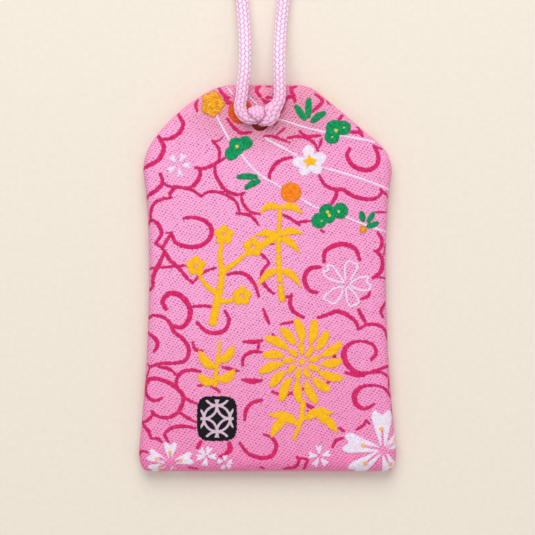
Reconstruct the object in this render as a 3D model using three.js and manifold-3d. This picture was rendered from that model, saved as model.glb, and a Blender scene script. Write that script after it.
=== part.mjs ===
// An omamori charm lying on its back: a small brocade pouch with cut shoulders, a paper-wrapped wooden
// tablet inside it, and a braided cord strap that is knotted through a hole near the top edge.
// Millimetres. X runs across the pouch, Y up towards the strap, Z out of the front. The table is z = 0.
import * as THREE from "three";
import { mergeVertices } from "three/addons/utils/BufferGeometryUtils.js";
import Module from "manifold-3d";

const wasm = await Module();
wasm.setup();

// Pouch outline
const POUCH_LENGTH = 79;
const BOTTOM_WIDTH = 52.6;
const WAIST_WIDTH = 48.4;
const WAIST_HEIGHT = 42;
const SHOULDER_WIDTH = 50.8;
const SHOULDER_DROP = 14.2;
const TOP_WIDTH = 18.2;
const TOP_SHIFT = -0.5;
const TOP_CORNER = 3;
const SHOULDER_CORNER = 3.6;
const LEFT_SHOULDER_BULGE = 1.2;
const BOTTOM_CORNER = 2;
const BOTTOM_CORNER_RISE = 4.4;
const CORNER_STEPS = 8;

// Layers of the pouch, from the table up
const PANEL = 0.6;
const LINING = 0.2;
const PAPER = 0.2;
const TABLET_THICKNESS = 1.2;
const CARD = 0.4;
const LAYER_GAP = 0.1;
const EDGE_ROUND = 2.4;
const CROWN = 0.6;

// Inner pieces
const LINING_INSET = 3;
const CARD_INSET = 3.4;
const TABLET_WIDTH = 38;
const TABLET_CUT = 9;
const TABLET_FOOT = 4.5;
const TABLET_CLEARANCE = 1;
const WRAPPER_CLEARANCE = 14;
const SEAM_THREAD = 0.4;
const SEAM_CLEARANCE = 0.25;

// Cord
const CORD = 2.5;
const HOLE = 3.6;
const HOLE_DROP = 7.7;
const HOLE_SHIFT = -1.5;
const NECK = 2.8;
const STOP_KNOT = 6.4;
const TURN_WIDTH = 3.6;
const TURN_HEIGHT = 3.3;
const TURN_DEPTH = 2.7;
const KNOT_LIFT = 0.2;
const FOLD_RISE = 4.8;
const FOLD_GAP = 0.3;
const TABLE_GAP = 0.15;

// Heights that follow from the layers
const HALF_LENGTH = POUCH_LENGTH / 2;
const BACK_LINING_Z = PANEL + LAYER_GAP;
const WRAPPER_Z = BACK_LINING_Z + LINING + LAYER_GAP;
const TABLET_Z = WRAPPER_Z + PAPER + LAYER_GAP;
const WRAPPER_TOP = TABLET_Z + TABLET_THICKNESS + LAYER_GAP + PAPER;
const CARD_Z = WRAPPER_TOP + LAYER_GAP;
const FRONT_LINING_Z = CARD_Z + CARD + LAYER_GAP;
const FRONT_EDGE_Z = FRONT_LINING_Z + LINING + LAYER_GAP + PANEL;
const SEAM_Z = FRONT_EDGE_Z / 2;
const HOLE_Y = HALF_LENGTH - HOLE_DROP;
const FOLD_Y = HOLE_Y + FOLD_RISE;
const TABLET_BOTTOM = TABLET_FOOT - HALF_LENGTH;
const TABLET_TOP = HOLE_Y - STOP_KNOT / 2 - TABLET_CLEARANCE;

function material(colour, roughness) {
  return new THREE.MeshStandardMaterial({ color: colour, roughness, metalness: 0 });
}

function solid(name, geometry, look) {
  const mesh = new THREE.Mesh(geometry, look);
  mesh.name = name;
  return mesh;
}

// The pouch seen from the front: a flat top, two cut shoulders, drawn-in sides and a flared bottom.
function pouchOutline() {
  const bottom = BOTTOM_WIDTH / 2;
  const flareY = BOTTOM_CORNER_RISE - HALF_LENGTH;
  const waist = WAIST_WIDTH / 2;
  const waistY = WAIST_HEIGHT - HALF_LENGTH;
  const shoulder = SHOULDER_WIDTH / 2;
  const shoulderY = HALF_LENGTH - SHOULDER_DROP;
  const topRight = new THREE.Vector2(TOP_SHIFT + TOP_WIDTH / 2, HALF_LENGTH);
  const topLeft = new THREE.Vector2(TOP_SHIFT - TOP_WIDTH / 2, HALF_LENGTH);
  const rightShoulder = new THREE.Vector2(shoulder, shoulderY);
  const leftShoulder = new THREE.Vector2(-shoulder, shoulderY);
  const leftOutward = new THREE.Vector2(leftShoulder.y - topLeft.y, topLeft.x - leftShoulder.x).normalize();
  const leftBulge = topLeft.clone().lerp(leftShoulder, 0.5).addScaledVector(leftOutward, 2 * LEFT_SHOULDER_BULGE);
  const leftEnd = leftShoulder.clone().lerp(leftBulge, SHOULDER_CORNER / leftShoulder.distanceTo(leftBulge));

  const outline = new THREE.Shape();
  outline.moveTo(-bottom + BOTTOM_CORNER, -HALF_LENGTH);
  outline.lineTo(bottom - BOTTOM_CORNER, -HALF_LENGTH);
  outline.quadraticCurveTo(bottom, -HALF_LENGTH, bottom, flareY);
  outline.quadraticCurveTo(waist, (waistY + flareY) / 2, waist, waistY);
  outline.quadraticCurveTo(waist, (waistY + shoulderY) / 2, shoulder, shoulderY - SHOULDER_CORNER);
  roundCorner(outline, rightShoulder, topRight, SHOULDER_CORNER);
  roundCorner(outline, topRight, topLeft, TOP_CORNER, rightShoulder);
  roundCorner(outline, topLeft, leftBulge, TOP_CORNER, topRight);
  outline.quadraticCurveTo(leftBulge.x, leftBulge.y, leftEnd.x, leftEnd.y);
  roundCorner(outline, leftShoulder, new THREE.Vector2(-shoulder, 0), SHOULDER_CORNER);
  outline.quadraticCurveTo(-waist, (waistY + shoulderY) / 2, -waist, waistY);
  outline.quadraticCurveTo(-waist, (waistY + flareY) / 2, -bottom, flareY);
  outline.quadraticCurveTo(-bottom, -HALF_LENGTH, -bottom + BOTTOM_CORNER, -HALF_LENGTH);
  return outline;
}

// Turns a corner that the outline is heading for, cutting in by the same length on both sides of it.
function roundCorner(outline, corner, next, cut, previous) {
  if (previous) {
    const before = corner.clone().lerp(previous, cut / corner.distanceTo(previous));
    outline.lineTo(before.x, before.y);
  }
  const after = corner.clone().lerp(next, cut / corner.distanceTo(next));
  outline.quadraticCurveTo(corner.x, corner.y, after.x, after.y);
}

// The outline drawn in by the same distance at the sides and at the ends.
function insetOutline(inset) {
  const across = 1 - inset / (BOTTOM_WIDTH / 2);
  const along = 1 - inset / HALF_LENGTH;
  const points = pouchOutline().getPoints(CORNER_STEPS);
  points.pop();
  return points.map((point) => new THREE.Vector2(point.x * across, point.y * along));
}

// A closed solid from rings of equal length, with a point that closes each end.
function loft(rings, firstPoint, lastPoint) {
  const count = rings[0].length;
  const positions = [firstPoint, ...rings.flat(), lastPoint].flatMap((point) => point.toArray());
  const last = 1 + rings.length * count;
  const index = [];
  for (let i = 0; i < count; i += 1) {
    const j = (i + 1) % count;
    index.push(0, 1 + i, 1 + j);
    for (let ring = 0; ring < rings.length - 1; ring += 1) {
      const here = 1 + ring * count;
      const next = here + count;
      index.push(here + i, next + i, next + j, here + i, next + j, here + j);
    }
    index.push(last, last - count + j, last - count + i);
  }
  const geometry = new THREE.BufferGeometry();
  geometry.setAttribute("position", new THREE.Float32BufferAttribute(positions, 3));
  geometry.setIndex(index);
  geometry.computeVertexNormals();
  return geometry;
}

// One face of a panel, from its middle out to the seam: a low crown, then a rounded edge.
function panelFace(skin, edgeZ, crown) {
  const edgeSteps = 4;
  const crownSteps = crown > 0 ? 4 : 1;
  const rim = insetOutline(EDGE_ROUND);
  const rings = [];
  for (let step = 1; step <= crownSteps; step += 1) {
    const share = step / crownSteps;
    const z = edgeZ + crown * (1 - share * share);
    rings.push(rim.map((point) => new THREE.Vector3(point.x * share, point.y * share, z)));
  }
  for (let step = edgeSteps - 1; step >= 0; step -= 1) {
    const turn = (step / edgeSteps) * (Math.PI / 2);
    const inset = EDGE_ROUND - (EDGE_ROUND - skin) * Math.cos(turn);
    const z = SEAM_Z + (edgeZ - SEAM_Z) * Math.sin(turn);
    const ring = insetOutline(inset);
    rings.push(ring.map((point) => new THREE.Vector3(point.x, point.y, z)));
  }
  return rings;
}

// A brocade panel: an outer and an inner face joined at the seam, which stays clear of the other panel.
function panel(edgeZ, crown) {
  const inward = Math.sign(SEAM_Z - edgeZ);
  const seamShift = -inward * (LAYER_GAP / 2);
  const outer = panelFace(0, edgeZ - seamShift, crown);
  const inner = panelFace(PANEL, edgeZ + inward * PANEL - seamShift, crown);
  const middle = new THREE.Vector3(0, 0, edgeZ - seamShift + crown);
  const innerMiddle = new THREE.Vector3(0, 0, edgeZ + inward * PANEL - seamShift + crown);
  const geometry = loft([...outer, ...inner.reverse()], middle, innerMiddle);
  if (inward > 0) {
    geometry.index.array.reverse();
  }
  geometry.translate(0, 0, seamShift);
  return geometry;
}

function manifold(geometry) {
  const bare = geometry.clone();
  bare.deleteAttribute("normal");
  bare.deleteAttribute("uv");
  const merged = mergeVertices(bare, 1e-4);
  return new wasm.Manifold(
    new wasm.Mesh({
      numProp: 3,
      vertProperties: new Float32Array(merged.attributes.position.array),
      triVerts: new Uint32Array(merged.index.array),
    }),
  );
}

function fromManifold(body) {
  const mesh = body.getMesh();
  const geometry = new THREE.BufferGeometry();
  geometry.setAttribute("position", new THREE.BufferAttribute(new Float32Array(mesh.vertProperties), 3));
  geometry.setIndex(new THREE.BufferAttribute(new Uint32Array(mesh.triVerts), 1));
  geometry.computeVertexNormals();
  return geometry;
}

function upright(diameter, bottom, top) {
  const geometry = new THREE.CylinderGeometry(diameter / 2, diameter / 2, top - bottom, 24);
  geometry.rotateX(Math.PI / 2);
  geometry.translate(HOLE_SHIFT, HOLE_Y, (bottom + top) / 2);
  return geometry;
}

function frontPanel() {
  const shell = manifold(panel(FRONT_EDGE_Z, CROWN));
  const punch = manifold(upright(HOLE, FRONT_LINING_Z, FRONT_EDGE_Z + CROWN + 1));
  return fromManifold(shell.subtract(punch));
}

// A flat sheet cut to the pouch's outline, with the cord hole where it lies in front of the tablet.
function flatSheet(inset, z, thickness, holed) {
  const sheet = new THREE.Shape(insetOutline(inset));
  if (holed) {
    const hole = new THREE.Path();
    hole.absarc(HOLE_SHIFT, HOLE_Y, HOLE / 2, 0, Math.PI * 2, true);
    sheet.holes.push(hole);
  }
  const geometry = new THREE.ExtrudeGeometry(sheet, { depth: thickness, bevelEnabled: false, curveSegments: 12 });
  geometry.translate(0, 0, z);
  return geometry;
}

// The wooden tablet, with its top corners cut off.
function tablet() {
  const half = TABLET_WIDTH / 2;
  const outline = new THREE.Shape();
  outline.moveTo(-half, TABLET_BOTTOM);
  outline.lineTo(half, TABLET_BOTTOM);
  outline.lineTo(half, TABLET_TOP - TABLET_CUT);
  outline.lineTo(half - TABLET_CUT, TABLET_TOP);
  outline.lineTo(-half + TABLET_CUT, TABLET_TOP);
  outline.lineTo(-half, TABLET_TOP - TABLET_CUT);
  outline.closePath();
  const geometry = new THREE.ExtrudeGeometry(outline, { depth: TABLET_THICKNESS, bevelEnabled: false });
  geometry.translate(0, 0, TABLET_Z);
  return geometry;
}

// The paper sleeve, open at both ends, drawn across the tablet and then run along it.
function wrapper() {
  const inner = TABLET_WIDTH / 2 + LAYER_GAP;
  const outer = inner + PAPER;
  const sleeve = new THREE.Shape();
  sleeve.moveTo(-outer, WRAPPER_Z);
  sleeve.lineTo(outer, WRAPPER_Z);
  sleeve.lineTo(outer, WRAPPER_TOP);
  sleeve.lineTo(-outer, WRAPPER_TOP);
  sleeve.closePath();
  const room = new THREE.Path();
  room.moveTo(-inner, WRAPPER_Z + PAPER);
  room.lineTo(-inner, WRAPPER_TOP - PAPER);
  room.lineTo(inner, WRAPPER_TOP - PAPER);
  room.lineTo(inner, WRAPPER_Z + PAPER);
  room.closePath();
  sleeve.holes.push(room);
  const top = TABLET_TOP - WRAPPER_CLEARANCE;
  const geometry = new THREE.ExtrudeGeometry(sleeve, { depth: top - TABLET_BOTTOM, bevelEnabled: false });
  geometry.rotateX(Math.PI / 2);
  geometry.translate(0, top, 0);
  return geometry;
}

// A round tube of the given diameter along a smooth curve.
function tube(points, diameter, steps, sides) {
  const ring = new THREE.Shape();
  ring.absarc(0, 0, diameter / 2, 0, Math.PI * 2, false);
  return new THREE.ExtrudeGeometry(new THREE.Shape(ring.getSpacedPoints(sides).slice(0, sides)), {
    steps,
    bevelEnabled: false,
    extrudePath: new THREE.CatmullRomCurve3(points),
  });
}

// The seam thread over part of the way round the pouch, given as shares of the outline from its bottom left.
function seamThread(start, end) {
  const steps = Math.round((end - start) * 80);
  const inset = PANEL + SEAM_CLEARANCE + SEAM_THREAD / 2;
  const seam = new THREE.Path(insetOutline(inset));
  seam.closePath();
  const points = [];
  for (let step = 0; step <= steps; step += 1) {
    const share = start + ((end - start) * step) / steps;
    const point = seam.getPointAt((share + 1) % 1);
    points.push(new THREE.Vector3(point.x, point.y, SEAM_Z));
  }
  return tube(points, SEAM_THREAD, steps, 6);
}

// How high the front of the pouch stands at the cord hole.
function faceHeightAtHole() {
  const share = HOLE_Y / (HALF_LENGTH - EDGE_ROUND);
  return FRONT_EDGE_Z + CROWN * (1 - share * share);
}

// Cord points near the hole: across and up from the hole's centre, and height above the pouch's face.
function fromHole(route) {
  const face = faceHeightAtHole() + KNOT_LIFT + CORD / 2;
  return route.map(([x, y, lift]) => new THREE.Vector3(HOLE_SHIFT + x, HOLE_Y + y, face + lift));
}

const LEFT_LEG = -3.8;
const RIGHT_LEG = 4.0;

// The knot in front of the hole: both legs curl into the hole, and a turn of cord bulges out between them.
function frontKnot() {
  const stub = FOLD_RISE - FOLD_GAP / 2;
  const left = fromHole([
    [LEFT_LEG, stub, 0],
    [LEFT_LEG - 0.3, 3.5, 0],
    [LEFT_LEG - 0.15, 2.3, 0],
    [-3.2, 1.25, 0],
    [-2.2, 0.8, 0],
    [-1.3, 0.65, -0.05],
    [-0.55, 0.35, -0.75],
    [-0.25, 0.15, -1.6],
  ]);
  const right = fromHole([
    [RIGHT_LEG, stub, 0],
    [RIGHT_LEG - 0.1, 4, 0.05],
    [RIGHT_LEG - 0.5, 3.3, 0.15],
    [RIGHT_LEG - 1.2, 2.4, 0.2],
    [2.4, 1.4, 0.2],
    [2.05, 0.75, 0.1],
    [1.3, 0.45, -0.05],
    [0.55, 0.25, -0.75],
    [0.25, 0.1, -1.6],
  ]);
  const [turnMiddle] = fromHole([[-0.87, 1.6, 0.1]]);
  const turn = new THREE.SphereGeometry(1, 16, 10);
  turn.scale(TURN_WIDTH / 2, TURN_HEIGHT / 2, TURN_DEPTH / 2);
  turn.translate(turnMiddle.x, turnMiddle.y, turnMiddle.z);
  const neckBottom = CARD_Z - LAYER_GAP;
  const neckTop = faceHeightAtHole() + CORD / 2;
  const strands = [turn, tube(left, CORD, 16, 8), tube(right, CORD, 16, 8)];
  let knot = manifold(upright(NECK, neckBottom, neckTop));
  for (const strand of strands) {
    knot = knot.add(manifold(strand));
  }
  return fromManifold(knot);
}

// The cord's two ends tied together behind the card: a flat round lump that can't pass the hole.
function stopKnot() {
  const bottom = BACK_LINING_Z + LINING + LAYER_GAP;
  const top = CARD_Z - 2 * LAYER_GAP;
  const profile = [];
  for (let step = 0; step <= 8; step += 1) {
    const turn = (step / 8) * Math.PI;
    const x = step % 8 === 0 ? 0 : (STOP_KNOT / 2) * Math.sin(turn);
    profile.push(new THREE.Vector2(x, (-(top - bottom) / 2) * Math.cos(turn)));
  }
  const geometry = new THREE.LatheGeometry(profile, 20);
  geometry.rotateX(Math.PI / 2);
  geometry.translate(HOLE_SHIFT, HOLE_Y, (bottom + top) / 2);
  return geometry;
}

// The free loop: up from the fold, over the top edge, down to the table, round and back again.
// Each point is across from the hole, up from the pouch's top edge, and high above the table.
function strap() {
  const face = faceHeightAtHole() + KNOT_LIFT + CORD / 2;
  const table = TABLE_GAP + CORD / 2;
  const start = FOLD_Y + FOLD_GAP / 2 - HALF_LENGTH;
  const points = [
    [LEFT_LEG, start, face],
    [LEFT_LEG + 0.2, -0.5, face],
    [LEFT_LEG + 0.6, 2.5, face - 0.1],
    [LEFT_LEG + 0.7, 7, face - 1.1],
    [LEFT_LEG + 0.5, 12, table + 1.4],
    [LEFT_LEG, 17.5, table + 0.3],
    [LEFT_LEG - 0.8, 23.5, table],
    [LEFT_LEG - 1.9, 30.5, table],
    [LEFT_LEG - 2.9, 38.5, table],
    [LEFT_LEG - 2.9, 46.5, table],
    [LEFT_LEG - 1.2, 53.5, table],
    [-1.5, 58.3, table],
    [2.2, 58.9, table],
    [RIGHT_LEG + 1.9, 56.1, table],
    [RIGHT_LEG + 4.1, 50, table],
    [RIGHT_LEG + 4.4, 42.5, table],
    [RIGHT_LEG + 3.5, 34.5, table],
    [RIGHT_LEG + 2.4, 26.5, table],
    [RIGHT_LEG + 1.3, 21, table],
    [RIGHT_LEG + 0.7, 16.5, table + 0.4],
    [RIGHT_LEG + 0.2, 11.5, table + 1.5],
    [RIGHT_LEG - 0.1, 6.5, face - 1],
    [RIGHT_LEG - 0.1, 2.5, face - 0.1],
    [RIGHT_LEG, -0.5, face],
    [RIGHT_LEG, start, face],
  ];
  const route = points.map(([x, y, z]) => new THREE.Vector3(HOLE_SHIFT + x, HALF_LENGTH + y, z));
  return tube(route, CORD, 64, 8);
}

const brocade = material(0xec96c3, 0.75);
const backing = material(0xf2ece0, 0.9);
const board = material(0xd8cfc0, 0.9);
const wood = material(0xdcb98a, 0.6);
const paper = material(0xfaf7f0, 0.85);
const thread = material(0xe07ab0, 0.7);
const braid = material(0xf6d6ef, 0.7);

const charm = new THREE.Group();
charm.name = "omamori_charm";
charm.add(
  solid("front_panel", frontPanel(), brocade),
  solid("back_panel", panel(0, 0), brocade.clone()),
  solid("front_lining", flatSheet(LINING_INSET, FRONT_LINING_Z, LINING, true), backing),
  solid("back_lining", flatSheet(LINING_INSET, BACK_LINING_Z, LINING, false), backing.clone()),
  solid("stiffener_card", flatSheet(CARD_INSET, CARD_Z, CARD, true), board),
  solid("amulet_tablet", tablet(), wood),
  solid("paper_wrapper", wrapper(), paper),
  solid("side_seam_thread", seamThread(-0.26, 0.46), thread),
  solid("mouth_seam_thread", seamThread(0.48, 0.72), thread.clone()),
  solid("front_knot", frontKnot(), braid),
  solid("stop_knot", stopKnot(), braid.clone()),
  solid("cord_strap", strap(), braid.clone()),
);

export default charm;
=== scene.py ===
"""An omamori charm lying on a pale table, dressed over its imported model."""

import math

import bpy
import numpy as np
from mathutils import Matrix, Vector
from mathutils.kdtree import KDTree


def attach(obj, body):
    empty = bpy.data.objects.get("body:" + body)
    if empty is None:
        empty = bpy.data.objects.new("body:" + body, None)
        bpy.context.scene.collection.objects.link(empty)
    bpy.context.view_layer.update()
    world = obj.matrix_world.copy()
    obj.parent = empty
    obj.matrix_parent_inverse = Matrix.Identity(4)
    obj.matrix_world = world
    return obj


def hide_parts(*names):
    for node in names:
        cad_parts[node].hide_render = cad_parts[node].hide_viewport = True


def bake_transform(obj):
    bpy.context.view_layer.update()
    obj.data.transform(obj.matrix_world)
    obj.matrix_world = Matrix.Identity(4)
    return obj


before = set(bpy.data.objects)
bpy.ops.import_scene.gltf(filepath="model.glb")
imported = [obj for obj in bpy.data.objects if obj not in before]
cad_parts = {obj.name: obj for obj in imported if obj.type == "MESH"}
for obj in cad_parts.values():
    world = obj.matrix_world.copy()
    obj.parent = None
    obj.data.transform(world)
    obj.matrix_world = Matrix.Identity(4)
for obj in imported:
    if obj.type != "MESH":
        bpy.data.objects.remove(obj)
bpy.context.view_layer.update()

# Lengths are in millimetres until a mesh is made
METRES = 0.001

# Photograph: pixels of the 535 by 535 frame, seen straight from above
FRAME_PIXELS = 535
PIXELS_PER_MM = 4.9
POUCH_PIXEL = (267.5, 278)
CAMERA_LENS = 300
CAMERA_SENSOR = 36

# Table
TABLE_SIZE = 3000

# Pouch
POUCH_LENGTH = 79
BOTTOM_WIDTH = 52.6
WAIST_WIDTH = 48.4
WAIST_HEIGHT = 42
SHOULDER_WIDTH = 50.8
SHOULDER_DROP = 14.2
TOP_WIDTH = 18.2
TOP_SHIFT = -0.5
TOP_CORNER = 3
SHOULDER_CORNER = 3.6
LEFT_SHOULDER_BULGE = 1.2
BOTTOM_CORNER = 2
BOTTOM_CORNER_RISE = 4.4
EDGE_ROUND = 2.4
CROWN = 0.6
PANEL = 0.6
SEAM_Z = 2.15
FRONT_EDGE_Z = 4.3
SEAM_GAP = 0.05
HALF_LENGTH = POUCH_LENGTH / 2
HALF_WIDTH = BOTTOM_WIDTH / 2

# Unevenness of the cloth: slow waves over the face (across, up and lag), and puckers at the seam
WANDER_HEIGHT = 0.035
WANDER_WAVES = ((0.21, 0.13, 0), (-0.27, 0.16, 1.3), (0, 0.37, 0.9))
PUCKER_HEIGHT = 0.035
PUCKERS_ROUND = (47, 29)

# Fineness of the meshes and curves
FRONT_GRID = (208, 370)
BACK_GRID = (130, 200)
CORNER_STEPS = 40
SIDE_STEPS = 120
SLOPE_STEPS = 60
FOLD_STEPS = 10
INNER_FOLD_STEPS = 3
INNER_RINGS = (0.7, 0.4)
HOLE_SIDES = 48
SPLINE_STEPS = 40

# Cord, its hole and its route
CORD = 2.5
HOLE = 3.6
HOLE_X = -1.5
HOLE_Y = 31.8
LEFT_LEG = -3.8
RIGHT_LEG = 4.0
LEG_DROP = 2.75
CORD_ON_FACE = 5.909
CORD_ON_TABLE = 1.4

# Stitches of the braid. Their half sizes and lean are shares of a column or of a stitch
STITCH_COLUMNS = 8
STITCH_LENGTH = 1.14
STITCH_DEPTH = 0.34
STITCH_RISE = 0.06
STITCH_HALF_WIDTH = 0.62
STITCH_HALF_LENGTH = 0.6
STITCH_LEAN = 0.3
SAMPLES_PER_COLUMN = 8
RING_STEP = 0.14

# The small turn in the knot's middle shows finer stitches
TURN_COLUMNS = 12
TURN_STITCH = 0.55
TURN_RING_STEP = 0.07

# Height and width of the knot's strands along their way, as shares of the cord's thickness
STRAND_TALL = (1, 1, 1, 0.8)
LEFT_WIDE = (1, 1.05, 1, 0.75)
RIGHT_WIDE = (1, 1.03, 1.08, 1.2, 1.42, 1.42, 1.2, 1.05, 0.95, 0.8, 0.75)
TURN_TALL = (0.6, 0.7, 0.7, 0.6)
TURN_WIDE = (0.8, 1.45, 1.45, 1.2)

# Gaps between strands at which the painted contact shade is darkest and at which it ends
CONTACT_SHADE_REACH = (0.05, 0.35)

# Weave of the brocade: its dots lie on two sets of slanting lines, given as lines per millimetre
WEAVE_FIRST = (1.147, -0.995)
WEAVE_SECOND = (-0.637, -1.862)
FIGURE_TOOTH = (0.31, 0.21)

# Woven figures: spacing along a stroke, reach of the distances, and where the relief rises
STROKE_STEP = 0.5
FIELD_MARGIN = 1.5
FAR = 9.0
RELIEF_EDGE = (-0.12, 0.15)

# Strokes of the figures: shares of the width along a line, and widths in pixels
THREAD_SPREAD = 1.12
CLOUD_SWELL = np.array([0.8, 1, 1.1, 1, 0.75])
TWIG_SWELL = np.array([0.75, 1, 1, 0.75])
LEAF_END = 4.6
PETAL_SLIT = (2.6, 2)
SLIT_FROM_REACH = 15


def srgb(red, green, blue):
    """The linear colour of three 0 to 255 screen values."""
    linear = []
    for value in (red, green, blue):
        share = value / 255
        linear.append(share / 12.92 if share <= 0.04045 else ((share + 0.055) / 1.055) ** 2.4)
    return (*linear, 1.0)


# Camera and light

def add_camera():
    width = FRAME_PIXELS / PIXELS_PER_MM
    height = width * CAMERA_LENS / CAMERA_SENSOR
    middle_x = (FRAME_PIXELS / 2 - POUCH_PIXEL[0]) / PIXELS_PER_MM
    middle_y = (POUCH_PIXEL[1] - FRAME_PIXELS / 2) / PIXELS_PER_MM
    data = bpy.data.cameras.new("camera")
    data.lens = CAMERA_LENS
    data.sensor_width = CAMERA_SENSOR
    data.clip_start = 0.01
    camera = bpy.data.objects.new("camera", data)
    camera.location = Vector((middle_x, middle_y, height + FRONT_EDGE_Z)) * METRES
    bpy.context.collection.objects.link(camera)
    bpy.context.scene.camera = camera


def add_light(name, place, size, power, colour):
    """A round soft light that faces the charm. Places and sizes are in metres."""
    data = bpy.data.lights.new(name, "AREA")
    data.shape = "DISK"
    data.size = size
    data.energy = power
    data.color = colour
    light = bpy.data.objects.new(name, data)
    light.location = place
    light.rotation_euler = (-Vector(place)).to_track_quat("-Z", "Y").to_euler()
    bpy.context.collection.objects.link(light)


def add_studio():
    add_light("key", (-0.04, 0.42, 0.46), size=0.6, power=2.7, colour=(1.0, 0.98, 0.96))
    add_light("fill", (0.12, -0.25, 0.6), size=1.1, power=0.95, colour=(1.0, 0.98, 0.97))
    world = bpy.data.worlds.new("studio")
    world.use_nodes = True
    background = world.node_tree.nodes["Background"]
    background.inputs["Color"].default_value = (1.0, 0.985, 0.965, 1)
    background.inputs["Strength"].default_value = 0.5
    scene = bpy.context.scene
    scene.world = world
    scene.view_settings.view_transform = "Standard"
    scene.view_settings.look = "None"


# Meshes

def new_object(name, points, faces):
    """A mesh object from points in millimetres."""
    mesh = bpy.data.meshes.new(name)
    mesh.from_pydata((np.asarray(points, float) * METRES).tolist(), [], faces)
    mesh.validate()
    for polygon in mesh.polygons:
        polygon.use_smooth = len(polygon.vertices) <= 4
    piece = bpy.data.objects.new(name, mesh)
    bpy.context.collection.objects.link(piece)
    return piece


def coordinates(piece):
    """The mesh's points in millimetres."""
    flat = np.empty(len(piece.data.vertices) * 3)
    piece.data.vertices.foreach_get("co", flat)
    return flat.reshape(-1, 3) / METRES


def move_points(piece, points):
    piece.data.vertices.foreach_set("co", (points * METRES).ravel())
    piece.data.update()


def point_normals(piece):
    flat = np.empty(len(piece.data.vertices) * 3)
    piece.data.vertex_normals.foreach_get("vector", flat)
    return flat.reshape(-1, 3)


def store(piece, name, values):
    """A number, or a vector, for each point of the mesh."""
    values = np.asarray(values, np.float32)
    vector = values.ndim == 2
    attribute = piece.data.attributes.new(name, "FLOAT_VECTOR" if vector else "FLOAT", "POINT")
    attribute.data.foreach_set("vector" if vector else "value", values.ravel())


def band_faces(low, high):
    """Quads between two rings of point numbers."""
    next_low, next_high = np.roll(low, -1), np.roll(high, -1)
    return np.stack([low, next_low, next_high, high], axis=1).tolist()


def tube_parts(rings, first=0):
    """The points and faces of a closed tube, numbered from `first`."""
    points = rings.reshape(-1, 3)
    numbers = first + np.arange(len(points)).reshape(rings.shape[:2])
    faces = [face for low, high in zip(numbers, numbers[1:]) for face in band_faces(low, high)]
    return points, [*faces, numbers[0, ::-1].tolist(), numbers[-1].tolist()]


def smoothstep(values, low, high):
    share = np.clip((values - low) / (high - low), 0, 1)
    return share * share * (3 - 2 * share)


# Smooth lines through points

def running_length(points):
    """How far along a line each of its points lies."""
    return np.concatenate([[0], np.cumsum(np.linalg.norm(np.diff(points, axis=0), axis=1))])


def spline(points, step):
    """Points every `step` along a smooth curve through the given points."""
    knots = np.asarray(points, float)
    knots = [2 * knots[0] - knots[1], *knots, 2 * knots[-1] - knots[-2]]
    t = np.linspace(0, 1, SPLINE_STEPS, endpoint=False)[:, None]
    dense = []
    for before, start, end, after in zip(knots, knots[1:], knots[2:], knots[3:]):
        first = np.linalg.norm(start - before) ** 0.5
        middle = np.linalg.norm(end - start) ** 0.5
        last = np.linalg.norm(after - end) ** 0.5
        leave = (start - before) / first - (end - before) / (first + middle) + (end - start) / middle
        arrive = (end - start) / middle - (after - start) / (middle + last) + (after - end) / last
        leave *= middle
        arrive *= middle
        square = 3 * (end - start) - 2 * leave - arrive
        cube = 2 * (start - end) + leave + arrive
        dense.append(start + leave * t + square * t**2 + cube * t**3)
    dense = np.concatenate([*dense, knots[-2:-1]])
    run = running_length(dense)
    count = max(2, int(round(run[-1] / step)) + 1)
    places = np.linspace(0, run[-1], count)
    return np.stack([np.interp(places, run, column) for column in dense.T], axis=1)


def nearest(points, known):
    """For each point, the number of the nearest known point and its distance."""
    tree = KDTree(len(known))
    for number, place in enumerate(known):
        tree.insert(place, number)
    tree.balance()
    found = [tree.find(point) for point in points]
    return np.array([number for _, number, _ in found]), np.array([gap for _, _, gap in found])


# Braided cord

def braid_height(along, around, columns, stitch_length):
    """How far each stitch stands up, 0 to 1: plump ovals that lean to and fro from column to column."""
    place = around * columns
    height = np.zeros_like(place)
    for neighbour in (-1, 0, 1):
        column = np.floor(place) + neighbour
        offset = place - column - 0.5
        across = offset / STITCH_HALF_WIDTH
        lean = STITCH_LEAN * (1 - 2 * (column % 2))
        row = along / stitch_length + 0.5 * (column % 2) + lean * offset
        down = (row - np.floor(row) - 0.5) / STITCH_HALF_LENGTH
        height = np.maximum(height, np.sqrt(np.clip(1 - across**2 - down**2, 0, 1)))
    return height


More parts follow.
